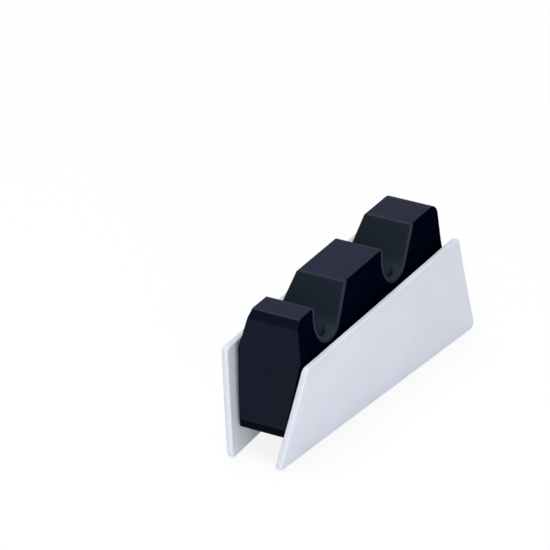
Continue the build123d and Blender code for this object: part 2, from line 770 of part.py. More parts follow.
def main_header(index):
    """Wire header on the main board, entered from the front."""
    front = main_header_front(index)
    low = BOARD_Z + BOARD_THICKNESS
    half = HEADER_WIDTH / 2
    solid = block((-half, half), (front, front + HEADER_LENGTH), (low, low + HEADER_HEIGHT))
    for x in wire_places():
        mouth, end = (x, front - REACH, wire_level()), (x, front + HEADER_LENGTH / 2, wire_level())
        solid -= cylinder_between(WIRE_RADIUS + SEAT_GAP, mouth, end)
    return solid


def on_board(half, y, height):
    """Square chip of a given height on the main board."""
    low = BOARD_Z + BOARD_THICKNESS
    return block((-half, half), (y - half, y + half), (low, low + height))


def charger_chip(index):
    return on_board(CHIP_SIZE / 2, main_header_front(index) + lead_sign(index) * CHIP_LEAD, CHIP_HEIGHT)


def inductor(index):
    y = main_header_front(index) + lead_sign(index) * INDUCTOR_LEAD
    solid = on_board(INDUCTOR_SIZE / 2, y, INDUCTOR_HEIGHT)
    upright = solid.edges().filter_by(Axis.Z)
    return chamfer(upright, INDUCTOR_SIZE / 6)


def lead_sign(index):
    """The chips lie between the two headers: behind the front one, before the rear one."""
    return (1, -1)[index]


def filter_capacitor():
    """Electrolytic can standing on the main board, midway between its two headers."""
    y = (main_header_front(0) + HEADER_LENGTH + main_header_front(1)) / 2
    low = BOARD_Z + BOARD_THICKNESS
    can = cylinder_between(CAPACITOR_RADIUS, (0, y, low), (0, y, low + CAPACITOR_HEIGHT))
    return fillet(can.edges().group_by(Axis.Z)[-1], CAPACITOR_RADIUS / 8)


def inlet_outline(grow):
    height = INLET_HEIGHT + 2 * grow
    return RectangleRounded(INLET_WIDTH + 2 * grow, height, height / 2 - INLET_SHELL / 2)


def usb_inlet():
    """Power receptacle: a flat shell with a tongue, its mouth level with the well's floor."""
    rear = WELL_FLOOR_Y
    shell = along_y(inlet_outline(0), inlet_z(), rear - INLET_LENGTH, rear)
    shell -= along_y(inlet_outline(-INLET_SHELL), inlet_z(), rear - INLET_MOUTH_DEPTH, rear + REACH)
    tongue = along_y(
        Rectangle(TONGUE_WIDTH, TONGUE_HEIGHT), inlet_z(),
        rear - INLET_MOUTH_DEPTH - INLET_SHELL, rear - TONGUE_SETBACK)
    return shell + tongue


# Screws

def base_screws():
    turned = Rot(X=HALF_TURN) * screw(BASE_SCREW_LENGTH)
    return [Pos(x, y, head_seat_z()) * turned for x, y in base_post_places()]


def board_screws():
    return [Pos(x, y, BOARD_Z + BOARD_THICKNESS) * screw(BOARD_SCREW_LENGTH) for x, y in board_screw_places()]


def ballast_screws():
    top = PAN_LIFT + PAN_WALL + BALLAST_HEIGHT
    return [Pos(x, y, top) * screw(BALLAST_SCREW_LENGTH) for x, y in ballast_screw_places()]


def panel_screws():
    """Screws driven outwards from inside the shell into the panels' bosses."""
    screws = []
    for side in (-1, 1):
        for y in PANEL_SCREW_PLACES:
            place = Pos(side * panel_seat(y), y, PANEL_SCREW_Z) * Rot(Y=-side * QUARTER_TURN)
            screws.append(place * screw(PANEL_SCREW_LENGTH))
    return screws


def solids_of(shape):
    """Flat list of the solids in a shape or in a list of shapes."""
    shapes = shape if isinstance(shape, (list, tuple)) else [shape]
    return [solid for item in shapes for solid in item.solids()]


def all_pieces():
    """Every named piece of the dock, measured from the toe of the panels."""
    body = body_solid()
    pieces = {
        "top_housing": top_housing(body),
        "base_cover": base_cover(body),
        "side_panel_left": side_panel(body, -1),
        "side_panel_right": side_panel(body, 1),
        "main_board": main_board(),
        "usb_inlet": usb_inlet(),
        "filter_capacitor": filter_capacitor(),
        "ballast_plate": ballast_plate(),
        "base_screws": base_screws(),
        "board_screws": board_screws(),
        "ballast_screws": ballast_screws(),
        "panel_screws": panel_screws(),
    }
    for name, (x, y) in foot_places().items():
        pieces[name] = foot(x, y)
    module_fasteners = []
    for index, end in enumerate(("front", "rear")):
        plane = module_plane(index)
        pieces["cradle_liner_" + end] = cradle_liner(body, index)
        pieces["terminal_pedestal_" + end] = plane * pedestal()
        pieces["contact_" + end + "_left"] = plane * contact(0)
        pieces["contact_" + end + "_right"] = plane * contact(1)
        pieces["contact_board_" + end] = plane * contact_board()
        pieces["contact_header_" + end] = plane * contact_header()
        pieces["main_header_" + end] = main_header(index)
        pieces["charger_chip_" + end] = charger_chip(index)
        pieces["inductor_" + end] = inductor(index)
        pieces["harness_" + end] = harness(index)
        module_fasteners += [plane * fastener for fastener in module_screws()]
    pieces["module_screws"] = module_fasteners
    return pieces


def main():
    os.makedirs("parts", exist_ok=True)
    footprint = panel_outline().bounding_box()
    to_middle = Pos(0, -(footprint.min.Y + footprint.max.Y) / 2, 0)
    for name, shape in all_pieces().items():
        solids = [to_middle * solid for solid in solids_of(shape)]
        whole = solids[0] if len(solids) == 1 else Compound(children=solids)
        export_step(whole, "parts/" + name + ".step")


main()
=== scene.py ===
import json
from math import cos, pi, radians, sin

import bmesh
import bpy
from bpy.props import FloatProperty, FloatVectorProperty, IntProperty, PointerProperty
from bpy.types import Operator, Panel, PropertyGroup
from mathutils import Matrix, Vector

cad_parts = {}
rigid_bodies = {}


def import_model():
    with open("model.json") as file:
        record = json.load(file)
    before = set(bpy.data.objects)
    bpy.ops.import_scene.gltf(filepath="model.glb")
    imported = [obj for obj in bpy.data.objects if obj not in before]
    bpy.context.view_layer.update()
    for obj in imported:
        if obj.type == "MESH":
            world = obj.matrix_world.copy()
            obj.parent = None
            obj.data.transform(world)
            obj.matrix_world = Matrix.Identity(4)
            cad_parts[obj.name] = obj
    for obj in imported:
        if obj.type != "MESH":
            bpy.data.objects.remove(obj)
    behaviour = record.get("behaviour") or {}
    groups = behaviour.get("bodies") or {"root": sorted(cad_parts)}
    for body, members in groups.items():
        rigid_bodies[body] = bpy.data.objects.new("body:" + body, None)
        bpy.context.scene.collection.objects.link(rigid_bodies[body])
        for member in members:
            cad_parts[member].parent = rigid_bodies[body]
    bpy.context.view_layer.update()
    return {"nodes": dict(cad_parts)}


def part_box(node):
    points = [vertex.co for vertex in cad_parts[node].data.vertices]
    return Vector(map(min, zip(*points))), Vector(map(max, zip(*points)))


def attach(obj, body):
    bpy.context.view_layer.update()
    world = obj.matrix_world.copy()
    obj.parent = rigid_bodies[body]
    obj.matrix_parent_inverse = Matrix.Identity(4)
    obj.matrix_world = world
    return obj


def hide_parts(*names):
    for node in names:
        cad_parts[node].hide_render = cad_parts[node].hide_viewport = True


bl_info = {
    "name": "Controller charging dock",
    "version": (1, 0, 0),
    "blender": (4, 5, 0),
    "location": "3D View > Sidebar > Dock",
    "description": "Finishes and fine pieces of a charging dock for two game controllers",
    "category": "Object",
}

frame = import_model()

MM = 0.001
ROOT = "root"

# The black body's section, halfway along it, and how it changes towards the rear
BODY_TOP_Z = 63.9 * MM
BODY_KNEE_Z = 46.9 * MM
BODY_BOTTOM_Z = 12.3 * MM
BODY_RISE = 0.035
BODY_TOP_HALF = 11.4 * MM
BODY_KNEE_HALF = 14.2 * MM
KNEE_TAPER = -0.0125
BODY_BOTTOM_HALF = 12.5 * MM
BOTTOM_TAPER = 0.0265

# Fixings, as the CAD source has them
SCREW_RADIUS = 1.25 * MM
SCREW_HEAD_RADIUS = 2.3 * MM
SCREW_HEAD_HEIGHT = 1.6 * MM
SCREW_SOCKET_RADIUS = 0.9 * MM
SCREW_SOCKET_DEPTH = 0.8 * MM

# The inlet's tongue and its pads
TONGUE_HALF = 0.35 * MM
PAD_PITCH = 0.5 * MM
PAD_SIZE = (0.28 * MM, 2.6 * MM, 0.08 * MM)
PAD_SETBACK = 2.4 * MM

# Spacing of the slow drift of a plastic's tone, and of its rubbed patches
CLOUD = 24 * MM
RUB = 5 * MM

# Stage: the place and diameter of each lamp, and the camera as it was fitted to the photograph
OVERHEAD_LAMP = ((-0.2, 0.0, 1.2), 1.2)
SIDE_LAMP = ((0.85, -1.0, 0.3), 0.9)
LAMP_TARGET = (0, 0, 0.03)
CAMERA_PLACE = (0.6881, -1.26409, 0.7573)
CAMERA_RIGHT = (0.8681, 0.4964, 0)
CAMERA_UP = (-0.2180, 0.3812, 0.8984)
CAMERA_BACK = (0.4460, -0.7799, 0.4391)
FLOOR_HALF = 3.0
FLOOR_GLOW = 0.86
WHITE = (1, 1, 1, 1)
COOL_DAYLIGHT = (0.94, 0.965, 1.0, 1)
CEILING_TONE = (0.02, 0.025, 0.035, 1)
CEILING_EDGE = (0.42, 0.62)


def paint(red, green, blue):
    """Scene colour for three screen values from 0 to 255."""
    shares = [value / 255 for value in (red, green, blue)]
    straight = [s / 12.92 if s <= 0.04045 else ((s + 0.055) / 1.055) ** 2.4 for s in shares]
    return (*straight, 1.0)


def colour(name, description, red, green, blue):
    """A colour property whose default is given in screen values."""
    return FloatVectorProperty(
        name=name, description=description, subtype="COLOR", size=4, min=0, max=1,
        default=paint(red, green, blue))


def length(name, description, millimetres):
    """A length property whose default is given in millimetres."""
    return FloatProperty(
        name=name, description=description, unit="LENGTH", subtype="DISTANCE", min=0,
        precision=5, default=millimetres * MM)


def share(name, description, default):
    """A property from 0 to 1."""
    return FloatProperty(
        name=name, description=description, subtype="FACTOR", min=0, max=1, default=default)


def power(name, description, watts):
    """A lamp's power in watts."""
    return FloatProperty(name=name, description=description, unit="POWER", min=0, default=watts)


def number(name, description, most, default, least=1):
    """A whole number from least to most."""
    return IntProperty(name=name, description=description, min=least, max=most, default=default)


class DockShellSettings(PropertyGroup):
    housing: colour("Housing", "Black plastic of the upper shell", 4, 10, 29)
    # Painted light: crown is the same black plastic made paler on the level tops, where the
    # overhead light falls.
    crown_painted_light: colour("Crown", "The same plastic on the level tops", 28, 32, 53)
    # Painted shade: flank is the same black plastic made darker on the flanks, which take little
    # light.
    flank_shade_and_highlight: colour("Flank", "The same plastic on the polished flanks", 2, 5, 19)
    base: colour("Base", "Black plastic of the base cover", 4, 6, 17)
    roughness: share("Roughness", "How dull the black plastic is", 0.42)
    gloss: share("Gloss", "How much the black plastic mirrors", 0.24)
    edge: length("Edge", "Softness of the edges", 1.0)
    grain: length("Grain", "Spacing of the moulded grain", 0.45)
    grain_depth: length("Grain depth", "Height of the moulded grain", 0.012)


class DockPanelSettings(PropertyGroup):
    white: colour("White", "Plastic of the side panels", 210, 214, 224)
    shade: colour("Shade", "Slightly deeper tone in the white", 207, 211, 221)
    roughness: share("Roughness", "How dull the white plastic is", 0.45)
    grain: length("Grain", "Spacing of the moulded grain", 0.35)
    grain_depth: length("Grain depth", "Height of the moulded grain", 0.006)


class DockLinerSettings(PropertyGroup):
    wall: colour("Wall", "Soft sheet on the cradle walls", 23, 31, 40)
    # Painted light: floor is the sheet made paler at the bottom of the cradles, where it faces up
    # to the light.
    floor: colour("Floor", "Soft sheet at the bottom of the cradles", 38, 48, 58)
    # Painted highlight: rim is a paler strip along the sheet's edge, standing in for light caught
    # by its rounded edge.
    rim_highlight: colour("Rim", "Smooth rim of the sheet", 46, 50, 62)
    rim_highlight_width: length("Rim width", "Width of the smooth rim", 0.4)
    roughness: share("Roughness", "How dull the sheet is", 0.7)
    edge: length("Edge", "Softness of the sheet's rim", 1.1)
    nap: length("Nap", "Spacing of the fine surface grain", 0.25)
    nap_depth: length("Nap depth", "Height of the fine surface grain", 0.01)


class DockTerminalSettings(PropertyGroup):
    pedestal: colour("Pedestal", "Plastic of the terminal pedestals", 28, 34, 46)
    contact: colour("Contact", "Plated metal of the contact blades", 214, 178, 112)
    pad_count: number("Inlet pads", "Contact pads on each side of the inlet's tongue", 12, 12, 2)


class DockBoardSettings(PropertyGroup):
    mask: colour("Solder mask", "Green lacquer of the boards", 18, 82, 48)
    header: colour("Header", "Nylon of the wire headers", 226, 218, 196)
    chip: colour("Chip", "Moulded resin of the chips", 22, 22, 24)
    sleeve: colour("Sleeve", "Printed sleeve of the capacitor", 28, 36, 60)
    wire: colour("Wire", "Insulation of the wires", 150, 24, 22)


class DockFixingSettings(PropertyGroup):
    steel: colour("Steel", "Zinc-plated steel of the screws", 176, 178, 182)
    rubber: colour("Rubber", "Rubber of the feet", 34, 34, 36)
    rings: number("Tread rings", "Rings moulded in the sole of a foot", 5, 3)
    pitch: length("Thread pitch", "Distance between thread crests", 0.8)


class DockStageSettings(PropertyGroup):
    floor: colour("Floor", "Plain pale floor", 246, 247, 249)
    ambient: FloatProperty(name="Ambient", description="Light from all round", min=0, default=0.34)
    ceiling: share("Dim ceiling", "How much darker the ceiling is in mirrors than the walls", 0.9)
    key: power("Key", "Power of the overhead softbox", 12)
    side: power("Side", "Power of the side softbox", 11)
    lens: FloatProperty(
        name="Lens", description="Focal length of the camera in millimetres", min=1, default=248.9)


# Shader building

class Value:
    """A socket of a finish, with Python's operators for its Math nodes."""

    def __init__(self, finish, socket):
        self.finish = finish
        self.socket = socket

    def _math(self, operation, *terms):
        return self.finish.add("ShaderNodeMath", {"operation": operation}, dict(enumerate(terms)))

    def __add__(self, other):
        return self._math("ADD", self, other)

    __radd__ = __add__

    def __sub__(self, other):
        return self._math("SUBTRACT", self, other)

    def __rsub__(self, other):
        return self._math("SUBTRACT", other, self)

    def __mul__(self, other):
        return self._math("MULTIPLY", self, other)

    __rmul__ = __mul__

    def __truediv__(self, other):
        return self._math("DIVIDE", self, other)

    def above(self, other):
        return self._math("MAXIMUM", self, other)

    def below(self, other):
        return self._math("MINIMUM", self, other)

    def wave(self):
        return self._math("SINE", self)

    def size(self):
        return self._math("ABSOLUTE", self)


class Finish:
    """A material, or the world, whose nodes are added one call at a time."""

    def __init__(self, owner):
        owner.use_nodes = True
        self.material = owner
        self.tree = owner.node_tree
        self.tree.nodes.clear()

    def add(self, kind, settings=None, inputs=None, output=0):
        node = self.tree.nodes.new(kind)
        for key, value in (settings or {}).items():
            setattr(node, key, value)
        for key, value in (inputs or {}).items():
            if isinstance(value, Value):
                self.tree.links.new(value.socket, node.inputs[key])
            else:
                node.inputs[key].default_value = value
        return Value(self, node.outputs[output]) if len(node.outputs) else None

    def place(self):
        """Object coordinates, which are the CAD frame's."""
        return self.add("ShaderNodeTexCoord", output="Object")

    def axis(self, name):
        return self.add("ShaderNodeSeparateXYZ", inputs={0: self.place()}, output=name)

    def noise(self, spacing, detail=2.0):
        """Noise whose features are about spacing metres apart."""
        return self.add("ShaderNodeTexNoise", inputs={
            "Vector": self.place(), "Scale": 1 / spacing, "Detail": detail})

    def between(self, mask, low, high):
        """Colour that goes from low to high as mask goes from 0 to 1."""
        node = self.tree.nodes.new("ShaderNodeMix")
        node.data_type = "RGBA"
        for key, value in ((0, mask), (6, low), (7, high)):
            if isinstance(value, Value):
                self.tree.links.new(value.socket, node.inputs[key])
            else:
                node.inputs[key].default_value = value
        return Value(self, node.outputs[2])

    def step(self, value, low, high):
        """Smooth 0 to 1 as value goes from low to high."""
        return self.add(
            "ShaderNodeMapRange", {"interpolation_type": "SMOOTHSTEP"},
            {"Value": value, "From Min": low, "From Max": high})

    def clouded(self, tone, deeper):
        """Colour that drifts between two tones."""
        return self.between(self.step(self.noise(CLOUD, detail=3), 0.35, 0.65), tone, deeper)

    def relief(self, height, depth):
        """Bumped normal for a height from 0 to 1 that stands for depth metres."""
        return self.add("ShaderNodeBump", inputs={
            "Height": height, "Distance": depth, "Strength": 1.0})

    def soft_edges(self, radius, under):
        """Normal that rounds every edge of the piece by radius."""
        return self.add("ShaderNodeBevel", {"samples": 6}, {"Radius": radius, "Normal": under})

    def surface(self, **inputs):
        """Principled shader on the material's output; spaces in names are underscores."""
        named = {key.replace("_", " "): value for key, value in inputs.items()}
        shader = self.add("ShaderNodeBsdfPrincipled", inputs=named)
        self.show(shader)

    def show(self, shader, kind="ShaderNodeOutputMaterial"):
        self.add(kind, inputs={"Surface": shader})


def new_finish(name):
    return Finish(bpy.data.materials.new(name))


def darker(tone, by):
    """The tone with each channel multiplied by a number, which may also be above 1."""
    return (*(channel * by for channel in tone[:3]), 1.0)


def worn(roughness, rubbed, fine):
    """Roughness that varies with the rubbed patches and the fine grain."""
    return roughness + 0.05 * (rubbed - 0.5) + 0.03 * (fine - 0.5)


def moulded(name, tone, deeper, roughness, gloss, grain, depth):
    """Moulded plastic: fine spark-eroded grain, faint flow clouding, uneven gloss."""
    finish = new_finish(name)
    fine, rubbed = finish.noise(grain), finish.noise(RUB, detail=4)
    finish.surface(
        Base_Color=finish.clouded(tone, deeper), Roughness=worn(roughness, rubbed, fine),
        Normal=finish.relief(fine, depth), Specular_IOR_Level=gloss)
    return finish.material


def brushed(name, tone, roughness):
    """Plated metal with fine streaks along Y and faint stains."""
    finish = new_finish(name)
    stretched = finish.add("ShaderNodeMapping", inputs={
        "Vector": finish.place(), "Scale": (1, 0.05, 1)})
    streaks = finish.add("ShaderNodeTexNoise", inputs={
        "Vector": stretched, "Scale": 1 / (0.12 * MM), "Detail": 2.0})
    stains = finish.noise(3 * MM, detail=3)
    finish.surface(
        Base_Color=finish.between(stains, tone, darker(tone, 0.82)), Metallic=1.0,
        Roughness=roughness + 0.12 * (streaks - 0.5) + 0.1 * (stains - 0.5),
        Normal=finish.relief(streaks, 0.002 * MM))
    return finish.material


def beyond_flank(finish):
    """Metres from the body's flanks, negative inside them, at a point of the body."""
    across, along, height = (finish.axis(name) for name in "XYZ")
    knee_half = along * KNEE_TAPER + BODY_KNEE_HALF
    knee_z = along * BODY_RISE + BODY_KNEE_Z
    bottom_half = along * BOTTOM_TAPER + BODY_BOTTOM_HALF
    over = (height - knee_z) / (BODY_TOP_Z - BODY_KNEE_Z)
    under = (knee_z - height) / (knee_z - BODY_BOTTOM_Z)
    upper = knee_half - over * (knee_half - BODY_TOP_HALF)
    lower = knee_half - under * (knee_half - bottom_half)
    return across.size() - upper.below(lower)


def above_crown(finish):
    """Metres above the body's level tops, which rise towards the rear."""
    return finish.axis("Z") - BODY_TOP_Z - finish.axis("Y") * BODY_RISE


def shell_plastic(settings):
    """Black plastic: satin on top and in front, unmirroring on the flanks; painted light makes the
    level tops paler and painted shade makes the flanks darker.
    """
    finish = new_finish("housing_black")
    # Mask of the flanks: painted shade in the base colour there, and no coat.
    flank_shade_and_highlight = finish.step(beyond_flank(finish), -0.7 * MM, -0.2 * MM)
    # Mask of the level tops, where painted light makes the plastic paler.
    crown_painted_light = finish.step(above_crown(finish), -0.5 * MM, -0.1 * MM)
    fine, rubbed = finish.noise(settings.grain), finish.noise(RUB, detail=4)
    # The front tone and its painted-light copy for the level tops.
    side, top = (
        finish.clouded(tone, darker(tone, 0.86))
        for tone in (tuple(settings.housing), tuple(settings.crown_painted_light)))
    finish.surface(
        Base_Color=finish.between(
            flank_shade_and_highlight, finish.between(crown_painted_light, side, top), tuple(settings.flank_shade_and_highlight)),
        Roughness=worn(settings.roughness, rubbed, fine),
        Normal=finish.soft_edges(settings.edge, finish.relief(fine, settings.grain_depth)),
        Specular_IOR_Level=0.0,
        Coat_Weight=(1 - flank_shade_and_highlight) * (settings.gloss + 0.06 * (rubbed - 0.5)), Coat_Roughness=0.3)
    return finish.material


def cover(material, *names):
    """Gives CAD nodes their finish."""
    for name in names:
        slots = frame["nodes"][name].data.materials
        slots.clear()
        slots.append(material)


# Mesh building

def mesh_object(name, points, faces, material):
    """Object at the origin with welded, outward-facing faces, smooth up to 35 degrees."""
    mesh = bpy.data.meshes.new(name)
    mesh.from_pydata([tuple(point) for point in points], [], faces)
    work = bmesh.new()
    work.from_mesh(mesh)
    bmesh.ops.remove_doubles(work, verts=work.verts, dist=1e-7)
    bmesh.ops.recalc_face_normals(work, faces=work.faces)
    work.to_mesh(mesh)
    work.free()
    mesh.shade_smooth()
    mesh.set_sharp_from_angle(angle=radians(35))
    mesh.materials.append(material)
    made = bpy.data.objects.new(name, mesh)
    bpy.context.scene.collection.objects.link(made)
    return made


def lathe(profile, sides):
    """Points and faces of a closed shape turned about Z from (radius, height) points."""
    points, faces = [], []
    for radius, height in profile:
        for side in range(sides):
            turn = 2 * pi * side / sides
            points.append((radius * cos(turn), radius * sin(turn), height))
    for ring in range(len(profile) - 1):
        for side in range(sides):
            beside = (side + 1) % sides
            first, second = ring * sides, (ring + 1) * sides
            faces.append((first + side, first + beside, second + beside, second + side))
    return points, faces


def screw_profile(shank, pitch):
    """Half section of a pan-head screw, from its socket's floor to its tip."""
    crest, root = SCREW_RADIUS, SCREW_RADIUS * 0.8
    head, high = SCREW_HEAD_RADIUS, SCREW_HEAD_HEIGHT
    profile = [
        (0, high - SCREW_SOCKET_DEPTH),
        (SCREW_SOCKET_RADIUS * 0.9, high - SCREW_SOCKET_DEPTH),
        (SCREW_SOCKET_RADIUS, high - SCREW_SOCKET_DEPTH * 0.2),
        (SCREW_SOCKET_RADIUS * 1.12, high),
    ]
    for step in range(7):
        turn = pi / 2 * step / 6
        profile.append((
            head * 0.72 + head * 0.28 * sin(turn), high * 0.45 + high * 0.55 * cos(turn)))
    profile += [(head, high * 0.12), (head * 0.96, 0), (crest, 0)]
    depth = pitch * 0.6
    while depth + pitch < shank - crest * 0.5:
        profile += [
            (crest, -depth), (root, -depth - pitch * 0.35),
            (root, -depth - pitch * 0.6), (crest, -depth - pitch * 0.95)]
        depth += pitch
    profile += [(root, -shank + crest * 0.5), (root * 0.6, -shank), (0, -shank)]
    return profile


def foot_profile(radius, thickness, rings):
    """Half section of a foot, from the middle of its sole to the middle of its top."""
    groove = radius * 0.72 / (2 * rings)
    profile = [(0, 0)]
    for ring in range(rings):
        start = radius * 0.12 + ring * 2 * groove
        profile += [
            (start, 0), (start + groove * 0.2, 0.25 * MM),
            (start + groove * 0.8, 0.25 * MM), (start + groove, 0)]
    edge = 0.4 * MM
    for step in range(5):
        turn = pi / 2 * step / 4
        profile.append((radius - edge + edge * sin(turn), edge - edge * cos(turn)))
    profile += [(radius, thickness - 0.15 * MM), (radius - 0.15 * MM, thickness), (0, thickness)]
    return profile


# Geometry nodes

class Grower:
    """A Geometry Nodes tree with named inputs, built one node at a time."""

    def __init__(self, name, inputs):
        self.tree = bpy.data.node_groups.new(name, "GeometryNodeTree")
        self.ids = {}
        for label, kind, default in inputs:
            socket = self.tree.interface.new_socket(label, in_out="INPUT", socket_type=kind)
            if default is not None:
                socket.default_value = default
            self.ids[label] = socket.identifier
        self.tree.interface.new_socket(
            "Geometry", in_out="OUTPUT", socket_type="NodeSocketGeometry")
        self.source = self.tree.nodes.new("NodeGroupInput")

    def given(self, label):
        return self.source.outputs[label]

    def add(self, kind, settings=None, inputs=None):
        node = self.tree.nodes.new(kind)
        for key, value in (settings or {}).items():
            setattr(node, key, value)
        for key, value in (inputs or {}).items():
            if isinstance(value, bpy.types.NodeSocket):
                self.tree.links.new(value, node.inputs[key])
            else:
                node.inputs[key].default_value = value
        return node

    def end(self, geometry):
        """Realizes the instances, gives them their material and ends the tree."""
        real = self.add("GeometryNodeRealizeInstances", inputs={0: geometry})
        dressed = self.add("GeometryNodeSetMaterial", inputs={
            "Geometry": real.outputs[0], "Material": self.given("Material")})
        self.add("NodeGroupOutput", inputs={0: dressed.outputs[0]})

    def grow(self, name, carrier, values):
        """Runs the tree on carrier and returns a plain mesh object."""
        modifier = carrier.modifiers.new(name, "NODES")
        modifier.node_group = self.tree
        for label, value in values.items():
            modifier[self.ids[label]] = value
        bpy.context.view_layer.update()
        evaluated = carrier.evaluated_get(bpy.context.evaluated_depsgraph_get())
        mesh = bpy.data.meshes.new_from_object(evaluated)
        carrier.modifiers.remove(modifier)
        grown = bpy.data.objects.new(name, mesh)
        bpy.context.scene.collection.objects.link(grown)
        bpy.data.objects.remove(carrier)
        return grown


def copies_tree():
    """Tree that puts a copy of one part on every point, turned to the point's own angles."""
    grower = Grower("Copies of a part", [
        ("Geometry", "NodeSocketGeometry", None),
        ("Part", "NodeSocketObject", None),
        ("Scale", "NodeSocketFloat", 1.0),
        ("Material", "NodeSocketMaterial", None),
    ])
    part = grower.add("GeometryNodeObjectInfo", inputs={"Object": grower.given("Part")})
    angles = grower.add(
        "GeometryNodeInputNamedAttribute", {"data_type": "FLOAT_VECTOR"}, {"Name": "angles"})
    turn = grower.add("FunctionNodeEulerToRotation", inputs={0: angles.outputs[0]})
    placed = grower.add("GeometryNodeInstanceOnPoints", inputs={
        "Points": grower.given("Geometry"), "Instance": part.outputs["Geometry"],
        "Rotation": turn.outputs[0], "Scale": grower.given("Scale")})
    grower.end(placed.outputs[0])
    return grower


def row_tree():
    """Tree that makes one row of rounded pads along X."""
    grower = Grower("Row of pads", [
        ("Geometry", "NodeSocketGeometry", None),
        ("Count", "NodeSocketInt", 12),
        ("Pitch", "NodeSocketFloat", PAD_PITCH),
        ("Pad size", "NodeSocketVector", PAD_SIZE),
        ("Material", "NodeSocketMaterial", None),
    ])
    pad = grower.add("GeometryNodeMeshCube", inputs={
        "Size": grower.given("Pad size"), "Vertices X": 3, "Vertices Y": 5, "Vertices Z": 2})
    soft = grower.add("GeometryNodeSubdivisionSurface", inputs={
        0: pad.outputs[0], "Level": 1, "Edge Crease": 0.75})
    count, pitch = grower.given("Count"), grower.given("Pitch")
    less = grower.add("ShaderNodeMath", {"operation": "SUBTRACT"}, {0: count, 1: 1.0})
    run = grower.add("ShaderNodeMath", {"operation": "MULTIPLY"}, {0: less.outputs[0], 1: pitch})
    back = grower.add("ShaderNodeMath", {"operation": "MULTIPLY"}, {0: run.outputs[0], 1: -0.5})
    start = grower.add("ShaderNodeCombineXYZ", inputs={0: back.outputs[0]})
    step = grower.add("ShaderNodeCombineXYZ", inputs={0: pitch})
    line = grower.add("GeometryNodeMeshLine", inputs={
        "Count": count, "Start Location": start.outputs[0], "Offset": step.outputs[0]})
    row = grower.add("GeometryNodeInstanceOnPoints", inputs={
        "Points": line.outputs[0], "Instance": soft.outputs[0]})
    rows = grower.add("GeometryNodeInstanceOnPoints", inputs={
        "Points": grower.given("Geometry"), "Instance": row.outputs[0]})
    grower.end(rows.outputs[0])
    return grower


def points_object(name, places, angles=None):
    """Loose points, each with the angles that a copy on it is turned by."""
    mesh = bpy.data.meshes.new(name)
    mesh.from_pydata([tuple(place) for place in places], [], [])
    turned = mesh.attributes.new("angles", "FLOAT_VECTOR", "POINT")
    for item, value in zip(turned.data, angles or [(0, 0, 0)] * len(places)):
        item.vector = value
    made = bpy.data.objects.new(name, mesh)
    bpy.context.scene.collection.objects.link(made)
    return made


def copies(name, part, places, angles, material, slot, *nodes):
    """One object with a copy of part at each place, riding on the dock in place of nodes."""
    grown = copies_tree().grow(name, points_object(name + "_points", places, angles), {
        "Part": part, "Material": material})
    bpy.data.objects.remove(part)
    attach(grown, ROOT)
    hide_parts(*nodes)
    return grown


def islands(name):
    """Boxes of the separate solids of a CAD node, as (low, high) corners."""
    mesh = frame["nodes"][name].data.copy()
    work = bmesh.new()
    work.from_mesh(mesh)
    bmesh.ops.remove_doubles(work, verts=work.verts, dist=1e-6)
    left, boxes = set(work.verts), []
    while left:
        queue, seen = [next(iter(left))], set()
        while queue:
            vertex = queue.pop()
            if vertex in seen:
                continue
            seen.add(vertex)
            queue += [edge.other_vert(vertex) for edge in vertex.link_edges]
        left -= seen
        low = Vector(min(v.co[i] for v in seen) for i in range(3))
        high = Vector(max(v.co[i] for v in seen) for i in range(3))
        boxes.append((low, high))
    work.free()
    bpy.data.meshes.remove(mesh)
    return sorted(boxes, key=lambda box: tuple(box[0]))


# Operators

class DOCK_OT_shell(Operator):
    """Black grained plastic for the upper shell and the base cover"""
    bl_idname = "dock.shell"
    bl_label = "Finish the shell"

    def execute(self, context):
        settings = context.scene.dock_shell
        cover(shell_plastic(settings), "top_housing")
        base = tuple(settings.base)
        lower = moulded(
            "base_black", base, darker(base, 0.85), settings.roughness + 0.12, 0.03,
            settings.grain, settings.grain_depth)
        cover(lower, "base_cover")
        return {"FINISHED"}


class DOCK_OT_panels(Operator):
    """White plastic for the two side panels"""
    bl_idname = "dock.panels"
    bl_label = "Finish the side panels"

    def execute(self, context):
        settings = context.scene.dock_panels
        white = moulded(
            "panel_white", tuple(settings.white), tuple(settings.shade), settings.roughness, 0.45,
            settings.grain, settings.grain_depth)
        cover(white, "side_panel_left", "side_panel_right")
        return {"FINISHED"}


class DOCK_OT_liners(Operator):
    """Soft slate sheet for the two cradles, paler towards the bottom by painted light, with a
    painted highlight along its rim
    """
    bl_idname = "dock.liners"
    bl_label = "Finish the cradle liners"

    def execute(self, context):
        settings = context.scene.dock_liners
        for name in ("cradle_liner_front", "cradle_liner_rear"):
            low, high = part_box(name)
            finish = new_finish(name.replace("cradle_liner", "liner_slate"))
            height = finish.axis("Z")
            # Painted light: 1 in the lower part of the cradle, where the sheet faces up, fading
            # out higher up.
            painted_light_low = 1 - finish.step(height, low.z, low.z + (high.z - low.z) * 0.45)
            nap = finish.noise(settings.nap)
            streak = finish.noise(9 * MM, detail=4)
            mask = (painted_light_low + 0.25 * (streak - 0.5)).above(0.0).below(1.0)
            # Masks of the painted highlight along the rim, at the flanks and at the tops.
            flank_shade_and_highlight = finish.step(
                beyond_flank(finish), -1.6 * settings.rim_highlight_width, -0.6 * settings.rim_highlight_width)
            top = finish.step(
                above_crown(finish), -0.6 * settings.rim_highlight_width, -0.3 * settings.rim_highlight_width)
            # The wall tone paling into the painted-light floor tone, then the painted rim
            # highlight.
            sheet = finish.between(mask, tuple(settings.wall), tuple(settings.floor))
            tone = finish.between(flank_shade_and_highlight.above(top), sheet, tuple(settings.rim_highlight))
            finish.surface(
                Base_Color=tone, Roughness=settings.roughness + 0.08 * (nap - 0.5),
                Normal=finish.soft_edges(settings.edge, finish.relief(nap, settings.nap_depth)),
                Specular_IOR_Level=0.04)
            cover(finish.material, name)
        return {"FINISHED"}


